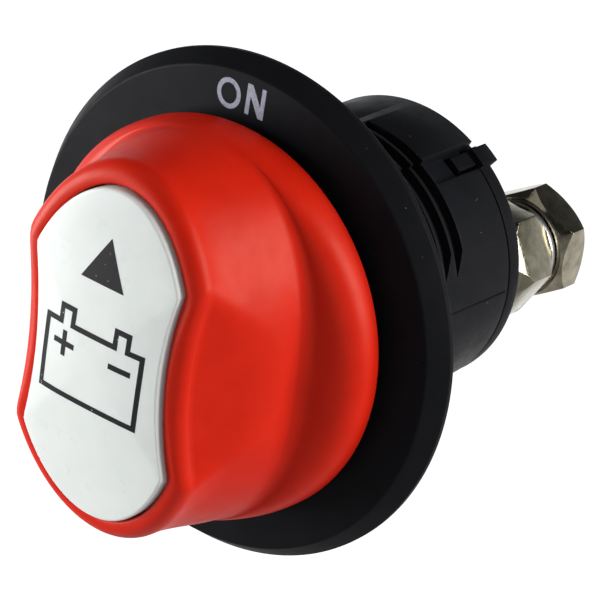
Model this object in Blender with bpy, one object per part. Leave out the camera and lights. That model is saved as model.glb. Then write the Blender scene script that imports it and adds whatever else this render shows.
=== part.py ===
"""Rotary battery switch for panel mounting.

Metres, +Z up. The switch axis is Y: the knob faces -Y and the terminal studs point to +Y.
The origin is on the axis, in the plane where the flange's back face meets the panel.
Angles round the axis are clock angles: 0 is up (+Z) and they grow towards +X, as seen from the knob.
The switch stands at ON, with its contacts closed.
"""

import math

import bmesh
import bpy
from mathutils import Vector

MM = 0.001
GAP = 0.3 * MM
SEGMENTS = 64

# Flange and barrel of the housing
FLANGE_RADIUS = 32.5 * MM
FLANGE_FACE_RADIUS = 30.8 * MM
FLANGE_THICKNESS = 3.3 * MM
FLANGE_EDGE = 0.8 * MM
BARREL_RADIUS = 18.8 * MM
BARREL_WALL = 1.9 * MM
BARREL_LENGTH = 31.0 * MM
FRONT_WALL_BACK = 2.0 * MM
BEARING_BORE = 7.0 * MM
BEARING_BOSS = 10.0 * MM
BEARING_FRONT = -8.5 * MM

# Features round the barrel
RIB_RADIUS = 19.4 * MM
RIB_HALF_ANGLE = 29.8
RIB_TAIL = 32.4 * MM
RIB_ROOT = 0.7 * MM
CHANNEL_START = 29.5
CHANNEL_END = 40.0
CHANNEL_FRONT = 22.0 * MM
CHANNEL_FLOOR = 17.8 * MM
WINDOW_FRONT = 27.2 * MM
WINDOW_LEDGE = 0.6
SLOT_FLOOR = 17.6 * MM
SLOT_FLOOR_AT_GUIDE = 18.5 * MM
SLOT_START = 1.5
SLOT_DEEP_START = 12.0
SLOT_STRAIGHT_END = 67.0
SLOT_END = 76.3
SLOT_PITCH = 2.4 * MM
SLOT_WIDTH = 1.9 * MM
SLOT_LAST_BACK = 21.65 * MM
SLOT_COUNT = 5
GUIDE_HALF_WIDTH = 3.3 * MM
GUIDE_RADIUS = 17.9 * MM
GUIDE_FRONT = 8.0 * MM

# End plate
PLATE_THICKNESS = 2.4 * MM
PLATE_RADIUS = 18.7 * MM
SPIGOT_RADIUS = 16.6 * MM
SPIGOT_FRONT = 28.0 * MM
EAR_RADIUS = 19.3 * MM
EAR_START = 32.0
EAR_END = 40.0
EAR_BACK = 34.5 * MM
ARM_FRONT = 27.6 * MM

# Terminals
STUD_OFFSET = 11.35 * MM
STUD_RADIUS = 3.9 * MM
STUD_END = 50.8 * MM
HEAD_FRONT = 24.0 * MM
HEAD_HALF_HEIGHT = 5.5 * MM
HEAD_REACH = 16.2 * MM
NUT_ACROSS_FLATS = 13.8 * MM
NUT_FACE_SHARE = 0.96
CLAMP_NUT = (34.0 * MM, 42.2 * MM)
CLAMP_NUT_CHAMFERS = (2.5 * MM, 2.0 * MM)
CLAMP_NUT_TURN = -3.0
LOCK_WASHER = (42.5 * MM, 43.7 * MM)
LOCK_WASHER_RADIUS = 6.2 * MM
TERMINAL_NUT = (44.0 * MM, 49.4 * MM)
TERMINAL_NUT_CHAMFERS = (1.7 * MM, 1.2 * MM)
TERMINAL_NUT_TURN = 28.0

# Knob
KNOB_RADIUS = 25.3 * MM
KNOB_BACK = -4.9 * MM
KNOB_SHOULDER = -6.2 * MM
GRIP_ROOT = -10.6 * MM
GRIP_ROOT_HALF_WIDTH = 18.1 * MM
GRIP_ROOT_HALF_HEIGHT = 25.2 * MM
GRIP_ROOT_POWER = 1.9
GRIP_FLARE = 0.8 * MM
GRIP_FLARE_SHARE = 0.2
DOME_POWER = 0.87
LIP_FRONT = -26.3 * MM
LIP_ROUNDING = 2.0 * MM
LIP_HALF_WIDTH = 16.2 * MM
LIP_HALF_HEIGHT = 24.2 * MM
SCOOP_RADIUS = 52.0 * MM
SCOOP_WAIST = 12.4 * MM
SCOOP_WAIST_AT_ROOT = 20.6 * MM
FACE_CURVE = 3.7
KNOB_WALL = 2.6 * MM
HUB_RADIUS = 9.5 * MM
HUB_BACK = -9.0 * MM
SOCKET_HALF = 5.0 * MM
SOCKET_FRONT = -17.8 * MM
COUNTERBORE_RADIUS = 4.8 * MM
COUNTERBORE_FLOOR = -18.5 * MM
SCREW_HOLE_RADIUS = 2.8 * MM

# Insert in the knob's face
INSERT_HALF_WIDTH = 13.3 * MM
INSERT_HALF_HEIGHT = 21.2 * MM
INSERT_WAIST = 9.6 * MM
INSERT_SCOOP_RADIUS = 46.0 * MM
INSERT_CLEARANCE = 0.25 * MM
INSERT_EDGE = -26.8 * MM
INSERT_ROUNDING = 0.3 * MM
INSERT_CROWN = -27.8 * MM
POCKET_FLOOR = -23.0 * MM

# Spindle and cam: two helical teeth on the spindle ride on two on the carrier
TURN_ANGLE = 90.0
LIFT = 3.0 * MM
SHAFT_RADIUS = 6.7 * MM
SHAFT_SQUARE_HALF = 4.7 * MM
SPINDLE_FRONT = -17.5 * MM
COLLAR_FRONT = 3.4 * MM
COLLAR_BACK = 5.9 * MM
COLLAR_RADIUS = 12.0 * MM
CAM_INNER = 6.5 * MM
CAM_OUTER = 11.5 * MM
CAM_LOW = 9.2 * MM
CAM_MARGIN = 1.5
STOP_RADIUS = 14.5 * MM
STOP_HALF_ANGLE = 10.0
STOP_BLOCK_ANGLE = 20.0
SEAL_GROOVE_FRONT = -3.1 * MM
SEAL_GROOVE_BACK = -1.3 * MM
SEAL_GROOVE_RADIUS = 5.2 * MM

# Contact carrier and bridge
CARRIER_RADIUS = 16.3 * MM
CARRIER_THICKNESS = 2.2 * MM
CARRIER_KEY_RADIUS = 17.5 * MM
CARRIER_KEY_HALF_WIDTH = 3.0 * MM
STEM_RADIUS = 3.0 * MM
STEM_END = 26.0 * MM
BRIDGE_HALF_LENGTH = 14.8 * MM
BRIDGE_HALF_HEIGHT = 5.5 * MM
BRIDGE_THICKNESS = 2.0 * MM
CONTACT_SPRING_RADIUS = 4.2 * MM
RETURN_SPRING_OFFSET = 12.0 * MM
RETURN_SPRING_RADIUS = 2.4 * MM
WIRE_RADIUS = 0.4 * MM

PLATE_FRONT = BARREL_LENGTH + GAP
PLATE_BACK = PLATE_FRONT + PLATE_THICKNESS
BRIDGE_BACK = HEAD_FRONT - GAP
BRIDGE_FRONT = BRIDGE_BACK - BRIDGE_THICKNESS
BARREL_BORE = BARREL_RADIUS - BARREL_WALL
CARRIER_FRONT = CAM_LOW + 2.0 * LIFT + GAP
CARRIER_BACK = CARRIER_FRONT + CARRIER_THICKNESS


# ---------------------------------------------------------------- helpers


def clock_point(radius, angle, y):
    """A point at a clock angle in degrees round the switch axis."""
    a = math.radians(angle)
    return Vector((radius * math.sin(a), y, radius * math.cos(a)))


def clock_angles(count=SEGMENTS):
    return [360.0 * i / count for i in range(count)]


def circle(radius, y, count=SEGMENTS):
    return [clock_point(radius, a, y) for a in clock_angles(count)]


def make_material(name, color, roughness, metallic=0.0):
    material = bpy.data.materials.new(name)
    material.use_nodes = True
    shader = material.node_tree.nodes["Principled BSDF"]
    shader.inputs["Base Color"].default_value = (*color, 1.0)
    shader.inputs["Roughness"].default_value = roughness
    shader.inputs["Metallic"].default_value = metallic
    return material


def object_from_bmesh(name, bm):
    bmesh.ops.recalc_face_normals(bm, faces=bm.faces)
    mesh = bpy.data.meshes.new(name)
    bm.to_mesh(mesh)
    bm.free()
    obj = bpy.data.objects.new(name, mesh)
    bpy.context.collection.objects.link(obj)
    return obj


def loft(name, rings):
    """Skin a series of rings. One point makes a pole; without poles the last ring meets the first."""
    bm = bmesh.new()
    loops = [[bm.verts.new(p) for p in ring] for ring in rings]
    pairs = list(zip(loops, loops[1:]))
    if len(rings[0]) > 1 and len(rings[-1]) > 1:
        pairs.append((loops[-1], loops[0]))
    for first, second in pairs:
        count = max(len(first), len(second))
        for i in range(count):
            j = (i + 1) % count
            if len(first) == 1:
                bm.faces.new((first[0], second[j], second[i]))
            elif len(second) == 1:
                bm.faces.new((first[i], first[j], second[0]))
            else:
                bm.faces.new((first[i], first[j], second[j], second[i]))
    return object_from_bmesh(name, bm)


def turned(name, profile, count=SEGMENTS):
    """Turn a profile of (radius, y) points round the Y axis. Radius 0 makes a pole."""
    rings = [[Vector((0.0, y, 0.0))] if r == 0.0 else circle(r, y, count) for r, y in profile]
    return loft(name, rings)


def prism(name, outline, y0, y1):
    """Extrude a closed outline of (x, z) points from y0 to y1."""
    bm = bmesh.new()
    front = [bm.verts.new((x, y0, z)) for x, z in outline]
    back = [bm.verts.new((x, y1, z)) for x, z in outline]
    bm.faces.new(front)
    bm.faces.new(back)
    for i in range(len(outline)):
        j = (i + 1) % len(outline)
        bm.faces.new((front[i], front[j], back[j], back[i]))
    return object_from_bmesh(name, bm)


def box(name, x0, x1, y0, y1, z0, z1):
    return prism(name, [(x0, z0), (x1, z0), (x1, z1), (x0, z1)], y0, y1)


def sweep_sections(name, sections):
    """Skin open-ended sections of equal point count and cap both ends."""
    bm = bmesh.new()
    loops = [[bm.verts.new(p) for p in section] for section in sections]
    for first, second in zip(loops, loops[1:]):
        for i in range(len(first)):
            j = (i + 1) % len(first)
            bm.faces.new((first[i], first[j], second[j], second[i]))
    bm.faces.new(loops[0])
    bm.faces.new(loops[-1])
    return object_from_bmesh(name, bm)


def ring_sector(name, r0, r1, start, end, y0, y1, y1_end=None, step=6.0):
    """A block between two radii and two clock angles. Its back face slopes to y1_end if that is given."""
    steps = max(1, math.ceil(abs(end - start) / step))
    sections = []
    for i in range(steps + 1):
        t = i / steps
        angle = start + (end - start) * t
        back = y1 if y1_end is None else y1 + (y1_end - y1) * t
        corners = ((r0, y0), (r1, y0), (r1, back), (r0, back))
        sections.append([clock_point(r, angle, y) for r, y in corners])
    return sweep_sections(name, sections)


def boolean(target, tool, operation):
    """Apply a Boolean of target with tool and remove the tool."""
    modifier = target.modifiers.new(operation, "BOOLEAN")
    modifier.operation = operation
    modifier.solver = "EXACT"
    modifier.object = tool
    depsgraph = bpy.context.evaluated_depsgraph_get()
    mesh = bpy.data.meshes.new_from_object(target.evaluated_get(depsgraph))
    target.modifiers.clear()
    target.data = mesh
    bpy.data.objects.remove(tool, do_unlink=True)


def cut(target, tool):
    boolean(target, tool, "DIFFERENCE")


def join(target, tool):
    boolean(target, tool, "UNION")


def finish(obj, material, parent=None, sharp_angle=32.0):
    obj.data.materials.clear()
    obj.data.materials.append(material)
    obj.data.shade_smooth()
    obj.data.set_sharp_from_angle(angle=math.radians(sharp_angle))
    obj.parent = parent
    return obj


def copy_at(obj, name, location):
    """A second object that shares the first one's mesh."""
    other = bpy.data.objects.new(name, obj.data)
    other.location = location
    bpy.context.collection.objects.link(other)
    return other


# ---------------------------------------------------------------- outlines of the grip


def smooth_min(a, b, blend):
    near = max(blend - abs(a - b), 0.0)
    return min(a, b) - near * near / (4.0 * blend)


def oval_radius(angle, half_width, half_height):
    """Distance from the axis to an upright ellipse."""
    a = math.radians(angle)
    return 1.0 / math.hypot(math.sin(a) / half_width, math.cos(a) / half_height)


def scoop_distance(angle, waist, radius):
    """Distance from the axis to a round hollow in the side, or a large value where the ray misses it."""
    across = abs(math.sin(math.radians(angle)))
    centre = waist + radius
    inside = radius**2 - centre**2 * (1.0 - across**2)
    if inside <= 0.0:
        return 1.0
    return centre * across - math.sqrt(inside)


def grip_root_radius(angle):
    """The rounded oval where the grip meets the knob's base."""
    up = abs(math.cos(math.radians(angle)))
    spread = GRIP_ROOT_HALF_HEIGHT - GRIP_ROOT_HALF_WIDTH
    return GRIP_ROOT_HALF_WIDTH + spread * up**GRIP_ROOT_POWER


def root_flare(angle, share):
    """How far the grip's sides curve outwards where they run into the base."""
    side = math.sin(math.radians(angle)) ** 2
    return GRIP_FLARE * side * max(0.0, 1.0 - share / GRIP_FLARE_SHARE) ** 2


def grip_radius(angle, share):
    """The grip's outline, from the root (share 0) to the lip (share 1)."""
    ease = share * share * (3.0 - 2.0 * share)
    end = oval_radius(angle, LIP_HALF_WIDTH, LIP_HALF_HEIGHT)
    column = grip_root_radius(angle) * (1.0 - ease) + end * ease
    waist = SCOOP_WAIST + (SCOOP_WAIST_AT_ROOT - SCOOP_WAIST) * (1.0 - share)
    hollow = scoop_distance(angle, waist, SCOOP_RADIUS)
    return smooth_min(column, hollow, 1.0 * MM) + root_flare(angle, share)


def insert_radius(angle):
    end = oval_radius(angle, INSERT_HALF_WIDTH, INSERT_HALF_HEIGHT)
    hollow = scoop_distance(angle, INSERT_WAIST, INSERT_SCOOP_RADIUS)
    return smooth_min(end, hollow, 0.4 * MM)


def outline_ring(radius_at, y, curve=0.0):
    """A ring that follows an outline. A curve makes it fall back above and below the middle."""
    ring = [clock_point(radius_at(a), a, y) for a in clock_angles()]
    for point in ring:
        point.y += curve * point.z**2
    return ring


def grip_ring(share, y, inset=0.0, curve=0.0):
    return outline_ring(lambda a: grip_radius(a, share) - inset, y, curve)


def column_ring(share, inset=0.0):
    """A ring of the grip's side. Rings near the lip follow the curve of the knob's face."""
    end = LIP_FRONT + LIP_ROUNDING
    return grip_ring(share, GRIP_ROOT + (end - GRIP_ROOT) * share, inset, FACE_CURVE * share)


def square_ring(half, y):
    """A square outline with a slight corner break, as points on the clock angles."""
    corner = half * 1.25

    def radius_at(angle):
        a = math.radians(angle)
        flat = half / max(abs(math.sin(a)), abs(math.cos(a)))
        return min(flat, corner)

    return outline_ring(radius_at, y)


# ---------------------------------------------------------------- housing


def build_housing(material):
    face = -FLANGE_THICKNESS
    profile = [
        (BEARING_BORE, BEARING_FRONT),
        (BEARING_BOSS - 0.6 * MM, BEARING_FRONT),
        (BEARING_BOSS, BEARING_FRONT + 0.6 * MM),
        (BEARING_BOSS, face),
        (FLANGE_FACE_RADIUS, face),
        (FLANGE_FACE_RADIUS + 0.7 * MM, face + 0.55 * MM),
        (FLANGE_RADIUS, -FLANGE_EDGE),
        (FLANGE_RADIUS, 0.0),
        (BARREL_RADIUS, 0.0),
        (BARREL_RADIUS, BARREL_LENGTH),
        (BARREL_BORE, BARREL_LENGTH),
        (BARREL_BORE, FRONT_WALL_BACK),
        (BEARING_BORE, FRONT_WALL_BACK),
    ]
    housing = turned("housing", profile)
    add_top_rib(housing)
    cut_carrier_guides(housing)
    add_turn_stops(housing)
    cut_thread_slots(housing)
    cut_ear_channels(housing)
    return finish(housing, material)


def add_top_rib(housing):
    """The raised sector along the top, which keys the barrel into its panel hole, and its tail."""
    inner = BARREL_RADIUS - RIB_ROOT
    rib = ring_sector("rib", inner, RIB_RADIUS, -RIB_HALF_ANGLE, RIB_HALF_ANGLE, -1.0 * MM, RIB_TAIL)
    join(housing, rib)


def cut_carrier_guides(housing):
    """Two grooves inside the barrel keep the carrier from turning."""
    x = GUIDE_HALF_WIDTH
    z = GUIDE_RADIUS
    groove = box("groove", -x, x, GUIDE_FRONT, BARREL_LENGTH + 5.0 * MM, -z, z)
    cut(housing, groove)


def add_turn_stops(housing):
    """Two blocks inside the barrel that the spindle's lug comes up against at ON and at OFF."""
    at_on = STOP_HALF_ANGLE + CAM_MARGIN
    at_off = -(TURN_ANGLE + STOP_HALF_ANGLE + CAM_MARGIN)
    inner = COLLAR_RADIUS + 2.0 * GAP
    outer = BARREL_BORE + 0.5 * MM
    front = FRONT_WALL_BACK - 0.5 * MM
    back = COLLAR_BACK + GAP
    join(housing, ring_sector("on_stop", inner, outer, at_on, at_on + STOP_BLOCK_ANGLE, front, back))
    join(housing, ring_sector("off_stop", inner, outer, at_off - STOP_BLOCK_ANGLE, at_off, front, back))


def cut_thread_slots(housing):
    """Grooves on both shoulders of the barrel leave thin lands between them for a ring nut."""
    outside = RIB_RADIUS + 2.0 * MM
    narrow = 0.1 * MM
    for side in (1.0, -1.0):
        start = side * SLOT_START
        deep = side * SLOT_DEEP_START
        straight = side * SLOT_STRAIGHT_END
        end = side * SLOT_END
        for i in range(SLOT_COUNT):
            back = SLOT_LAST_BACK - i * SLOT_PITCH
            front = back - SLOT_WIDTH
            cut(housing, ring_sector("shallow", SLOT_FLOOR_AT_GUIDE, outside, start, deep, front, back))
            slot = ring_sector("slot", SLOT_FLOOR, outside, 0.99 * deep, straight, front, back)
            wedge = ring_sector("wedge", SLOT_FLOOR, outside, straight, end, front, back, front + narrow)
            join(slot, wedge)
            cut(housing, slot)


def cut_ear_channels(housing):
    """Beside the rib, a channel on each side lets the end plate's spring ears clip in."""
    outside = RIB_RADIUS + 2.0 * MM
    beyond = BARREL_LENGTH + 5.0 * MM
    inside = BARREL_BORE - 0.5 * MM
    for side in (1.0, -1.0):
        start = CHANNEL_START
        end = CHANNEL_END
        edge = WINDOW_LEDGE
        channel = ring_sector(
            "channel", CHANNEL_FLOOR, outside, side * start, side * end, CHANNEL_FRONT, beyond
        )
        cut(housing, channel)
        window = ring_sector(
            "window", inside, outside, side * (start + edge), side * (end - edge), WINDOW_FRONT, beyond
        )
        cut(housing, window)


# ---------------------------------------------------------------- end plate


def build_end_plate(material):
    """The plate that closes the barrel. Its rim steps in under the tail of the housing's rib."""
    stem_room = STEM_RADIUS + 1.0 * MM
    profile = [
        (0.0, SPIGOT_FRONT + 1.5 * MM),
        (stem_room, SPIGOT_FRONT + 1.5 * MM),
        (stem_room, SPIGOT_FRONT),
        (SPIGOT_RADIUS - 0.5 * MM, SPIGOT_FRONT),
        (SPIGOT_RADIUS, SPIGOT_FRONT + 0.5 * MM),
        (SPIGOT_RADIUS, PLATE_FRONT),
        (PLATE_RADIUS, PLATE_FRONT),
        (PLATE_RADIUS, PLATE_BACK - 0.4 * MM),
        (PLATE_RADIUS - 0.4 * MM, PLATE_BACK),
        (0.0, PLATE_BACK),
    ]
    plate = turned("end_plate", profile)
    inner = BARREL_RADIUS - RIB_ROOT - GAP
    half = RIB_HALF_ANGLE + 1.0
    cut(plate, ring_sector("rib_room", inner, 25.0 * MM, -half, half, PLATE_FRONT - 1.0 * MM, 40.0 * MM))
    add_spring_ears(plate)
    add_spring_posts(plate)
    for side in (1.0, -1.0):
        hole = turned("stud_hole", disc_profile(STUD_RADIUS + GAP, 20.0 * MM, 40.0 * MM), 24)
        hole.location.x = side * STUD_OFFSET
        cut(plate, hole)
    return finish(plate, material)


def disc_profile(radius, front, back, chamfer=0.0):
    if chamfer == 0.0:
        return [(0.0, front), (radius, front), (radius, back), (0.0, back)]
    return [
        (0.0, front),
        (radius - chamfer, front),
        (radius, front + chamfer),
        (radius, back - chamfer),
        (radius - chamfer, back),
        (0.0, back),
    ]


def add_spring_ears(plate):
    """An ear on each side of the rib, with an arm that reaches forward into the housing's window."""
    for side in (1.0, -1.0):
        ear = ring_sector(
            "ear",
            SPIGOT_RADIUS - 1.0 * MM,
            EAR_RADIUS,
            side * EAR_START,
            side * EAR_END,
            PLATE_FRONT + 0.1 * MM,
            EAR_BACK,
        )
        join(plate, ear)
        arm = ring_sector(
            "arm",
            BARREL_BORE + GAP,
            CHANNEL_FLOOR + 0.7 * MM,
            side * (CHANNEL_START + 2.0),
            side * (CHANNEL_END - 2.0),
            ARM_FRONT,
            PLATE_FRONT + 0.8 * MM,
        )
        join(plate, arm)


def add_spring_posts(plate):
    """Two short posts that hold the return springs in place."""
    for side in (1.0, -1.0):
        post = turned("post", disc_profile(1.5 * MM, SPIGOT_FRONT - 3.0 * MM, SPIGOT_FRONT + 1.0 * MM), 16)
        post.location.z = side * RETURN_SPRING_OFFSET
        join(plate, post)


# ---------------------------------------------------------------- terminals


def build_stud(material):
    """A square-headed stud. The head is clipped to the barrel's round inside."""
    side = STUD_OFFSET
    reach = math.sqrt(HEAD_REACH**2 - HEAD_HALF_HEIGHT**2)
    inner = side - 5.6 * MM
    z = HEAD_HALF_HEIGHT
    middle = HEAD_REACH - 0.1 * MM
    outline = [(inner, -z), (reach, -z), (middle, -0.45 * z), (middle, 0.45 * z), (reach, z), (inner, z)]
    local = [(x - side, height) for x, height in outline]
    stud = prism("stud_right", local, HEAD_FRONT, SPIGOT_FRONT - GAP)
    shank = turned("shank", disc_profile(STUD_RADIUS, SPIGOT_FRONT - 2.0 * MM, STUD_END, 0.6 * MM), 24)
    join(stud, shank)
    stud.location.x = side
    return finish(stud, material)


def hexagon(across_flats, turn):
    corner = across_flats / math.sqrt(3.0)
    angles = [math.radians(turn + 60.0 * i) for i in range(6)]
    return [(corner * math.cos(a), corner * math.sin(a)) for a in angles]


def build_nut(name, span, chamfers, turn, material):
    """A hexagon nut, with the corners of both faces turned down to a cone."""
    front, back = span
    nut = prism(name, hexagon(NUT_ACROSS_FLATS, turn), front, back)
    flat = NUT_ACROSS_FLATS / 2.0
    face = flat * NUT_FACE_SHARE
    corner = flat / math.cos(math.radians(30.0))
    wide = corner + 0.2 * MM
    beyond = (wide - face) / (corner - face)
    front_edge = front + chamfers[0] * beyond
    back_edge = back - chamfers[1] * beyond
    profile = [(0.0, front), (face, front), (wide, front_edge), (wide, back_edge), (face, back), (0.0, back)]
    boolean(nut, turned("dome", profile, 24), "INTERSECT")
    cut(nut, turned("bore", disc_profile(STUD_RADIUS + GAP, front - 1.0 * MM, back + 1.0 * MM), 18))
    nut.location.x = STUD_OFFSET
    return finish(nut, material, sharp_angle=20.0)


def build_lock_washer(material):
    """A split spring washer, cut through at one place."""
    front, back = LOCK_WASHER
    inner = STUD_RADIUS + GAP
    outer = LOCK_WASHER_RADIUS
    washer = ring_sector("lock_washer_right", inner, outer, -84.0, 264.0, front, back, step=12.0)
    washer.location.x = STUD_OFFSET
    return finish(washer, material)


def build_terminals(brass, nickel, steel):
    """One stud with its nuts and washer on the right, and their copies on the left."""
    right = [
        build_stud(brass),
        build_nut("clamp_nut_right", CLAMP_NUT, CLAMP_NUT_CHAMFERS, CLAMP_NUT_TURN, nickel),
        build_lock_washer(steel),
        build_nut(
            "terminal_nut_right", TERMINAL_NUT, TERMINAL_NUT_CHAMFERS, TERMINAL_NUT_TURN, nickel
        ),
    ]
    for obj in right:
        left = copy_at(obj, obj.name.replace("right", "left"), (-STUD_OFFSET, 0.0, 0.0))
        left.rotation_euler.y = math.pi


# ---------------------------------------------------------------- springs


def coil(name, mean_radius, wire_radius, front, back, turns, sides=6, steps_per_turn=12):
    """A helical wire along Y, whose first and last half turns lie nearly flat."""
    steps = int(turns * steps_per_turn)
    length = back - front - 2.0 * wire_radius
    sections = []
    for i in range(steps + 1):
        t = i / steps
        angle = math.tau * turns * t
        flat = 0.5 / turns
        rise = min(max((t - flat) / (1.0 - 2.0 * flat), 0.0), 1.0)
        share = 0.88 * rise + 0.12 * t
        y = front + wire_radius + length * share
        out = Vector((math.sin(angle), 0.0, math.cos(angle)))
        centre = out * mean_radius + Vector((0.0, y, 0.0))
        section = []
        for k in range(sides):
            b = math.tau * k / sides
            along = Vector((0.0, math.sin(b), 0.0))
            section.append(centre + wire_radius * (math.cos(b) * out + along))
        sections.append(section)
    return sweep_sections(name, sections)


def build_return_springs(material):
    spring = coil(
        "return_spring_top",
        RETURN_SPRING_RADIUS,
        WIRE_RADIUS,
        CARRIER_BACK + GAP,
        SPIGOT_FRONT - GAP,
        4.5,
        sides=5,
    )
    spring.location.z = RETURN_SPRING_OFFSET
    finish(spring, material, sharp_angle=80.0)
    copy_at(spring, "return_spring_bottom", (0.0, 0.0, -RETURN_SPRING_OFFSET))


# ---------------------------------------------------------------- turning group


def build_knob(material, parent):
    roof = POCKET_FLOOR + 2.2 * MM
    rings = [
        circle(KNOB_RADIUS - 0.4 * MM, KNOB_BACK),
        circle(KNOB_RADIUS, KNOB_BACK - 0.5 * MM),
        circle(KNOB_RADIUS, KNOB_SHOULDER),
    ]
    rings += base_dome_rings()
    rings += [column_ring(share) for share in (0.05, 0.3, 0.55, 0.8, 1.0)]
    rings += lip_rings()
    rings += [
        circle(COUNTERBORE_RADIUS, POCKET_FLOOR),
        circle(COUNTERBORE_RADIUS, COUNTERBORE_FLOOR),
        circle(SCREW_HOLE_RADIUS, COUNTERBORE_FLOOR),
        circle(SCREW_HOLE_RADIUS, SOCKET_FRONT),
        square_ring(SOCKET_HALF, SOCKET_FRONT),
        square_ring(SOCKET_HALF, HUB_BACK),
        circle(HUB_RADIUS, HUB_BACK),
        circle(HUB_RADIUS, roof),
        grip_ring(0.72, roof, KNOB_WALL),
        column_ring(0.3, KNOB_WALL),
        grip_ring(0.05, GRIP_ROOT, KNOB_WALL),
        circle(KNOB_RADIUS - KNOB_WALL, KNOB_SHOULDER - 0.6 * MM),
        circle(KNOB_RADIUS - KNOB_WALL, KNOB_BACK),
    ]
    return finish(loft("knob", rings), material, parent)


def lip_rings():
    """From the grip's side over the rounded lip and down the wall of the insert's pocket."""
    rings = []
    for degrees in (30.0, 60.0, 90.0):
        t = math.radians(degrees)
        inset = LIP_ROUNDING * (1.0 - math.cos(t))
        y = LIP_FRONT + LIP_ROUNDING * (1.0 - math.sin(t))
        rings.append(grip_ring(1.0, y, inset, FACE_CURVE))
    for outset, drop in ((0.3 * MM, 0.1 * MM), (0.0, 0.4 * MM)):

        def radius_at(angle, beyond=INSERT_CLEARANCE + outset):
            return insert_radius(angle) + beyond

        rings.append(outline_ring(radius_at, LIP_FRONT + drop, FACE_CURVE))
    rings.append(outline_ring(lambda a: insert_radius(a) + INSERT_CLEARANCE, POCKET_FLOOR))
    return rings


def base_dome_rings():
    """The rounded shoulder from the knob's round edge in to the oval root of the grip."""
    rings = []
    height = KNOB_SHOULDER - GRIP_ROOT
    for degrees in (22.0, 45.0, 68.0, 86.0):
        t = math.radians(degrees)

        def radius_at(angle, share=math.cos(t) ** DOME_POWER):
            root = grip_root_radius(angle) + root_flare(angle, 0.0)
            return root + (KNOB_RADIUS - root) * share

        rings.append(outline_ring(radius_at, KNOB_SHOULDER - height * math.sin(t) ** DOME_POWER))
    return rings


def build_insert(material, parent):
    """The domed cap in the knob's face. It stands a little proud of the lip."""
    back = POCKET_FLOOR - GAP
    rim = INSERT_EDGE - INSERT_ROUNDING
    rings = [
        [Vector((0.0, back, 0.0))],
        outline_ring(insert_radius, back),
        outline_ring(insert_radius, INSERT_EDGE, FACE_CURVE),
        outline_ring(lambda a: insert_radius(a) - INSERT_ROUNDING, rim, FACE_CURVE),
    ]
    for share in (0.75, 0.5, 0.25):
        y = rim + (INSERT_CROWN - rim) * (1.0 - share * share)
        shape = lambda a, s=share: (insert_radius(a) - INSERT_ROUNDING) * s
        rings.append(outline_ring(shape, y, FACE_CURVE))
    rings.append([Vector((0.0, INSERT_CROWN, 0.0))])
    return finish(loft("knob_insert", rings), material, parent)


def build_knob_screw(material, parent):
    head_back = COUNTERBORE_FLOOR - 2.0 * GAP - 0.8 * MM
    head_front = head_back - 2.6 * MM
    tip = -10.8 * MM
    screw = turned(
        "knob_screw",
        [
            (0.0, head_front),
            (3.4 * MM, head_front),
            (4.2 * MM, head_front + 0.8 * MM),
            (4.2 * MM, head_back),
            (2.2 * MM, head_back),
            (2.2 * MM, tip - 0.5 * MM),
            (1.7 * MM, tip),
            (0.0, tip),
        ],
        24,
    )
    arm = 2.1 * MM
    half = 0.45 * MM
    for x, z in ((arm, half), (half, arm)):
        cut(screw, box("recess", -x, x, head_front - 1.0 * MM, head_front + 1.4 * MM, -z, z))
    return finish(screw, material, parent)


def build_screw_washer(material, parent):
    back = COUNTERBORE_FLOOR - GAP
    front = back - 0.8 * MM
    profile = [(2.6 * MM, front), (4.4 * MM, front), (4.4 * MM, back), (2.6 * MM, back)]
    return finish(turned("screw_washer", profile, 24), material, parent)


def build_spindle(material, parent):
    """A round shaft with a square end for the knob, a seal groove, a thrust collar and two cam teeth."""
    shaft_front = HUB_BACK + GAP
    rings = [
        [Vector((0.0, SPINDLE_FRONT, 0.0))],
        square_ring(SHAFT_SQUARE_HALF, SPINDLE_FRONT),
        square_ring(SHAFT_SQUARE_HALF, shaft_front),
        circle(SHAFT_RADIUS, shaft_front),
        circle(SHAFT_RADIUS, SEAL_GROOVE_FRONT),
        circle(SEAL_GROOVE_RADIUS, SEAL_GROOVE_FRONT),
        circle(SEAL_GROOVE_RADIUS, SEAL_GROOVE_BACK),
        circle(SHAFT_RADIUS, SEAL_GROOVE_BACK),
        circle(SHAFT_RADIUS, COLLAR_FRONT),
        circle(COLLAR_RADIUS, COLLAR_FRONT),
        circle(COLLAR_RADIUS, COLLAR_BACK),
        [Vector((0.0, COLLAR_BACK, 0.0))],
    ]
    spindle = loft("spindle", rings)
    for start in (0.0, 180.0):
        tooth = cam_tooth("tooth", start, COLLAR_BACK - 0.8 * MM, CAM_LOW)
        join(spindle, tooth)
    lug = ring_sector(
        "lug",
        COLLAR_RADIUS - 1.0 * MM,
        STOP_RADIUS,
        -STOP_HALF_ANGLE,
        STOP_HALF_ANGLE,
        COLLAR_FRONT,
        COLLAR_BACK,
    )
    join(spindle, lug)
    cut(spindle, turned("screw_hole", disc_profile(2.5 * MM, -30.0 * MM, -10.0 * MM), 24))
    return finish(spindle, material, parent)


def cam_tooth(name, start, base, low):
    """A tooth whose face climbs by LIFT over TURN_ANGLE, against the clock, from the clock angle start."""
    rise_start = low + LIFT * CAM_MARGIN / TURN_ANGLE
    rise_end = low + LIFT * (TURN_ANGLE - CAM_MARGIN) / TURN_ANGLE
    return ring_sector(
        name,
        CAM_INNER,
        CAM_OUTER,
        start - CAM_MARGIN,
        start - TURN_ANGLE + CAM_MARGIN,
        base,
        rise_start,
        rise_end,
        step=7.5,
    )


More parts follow.
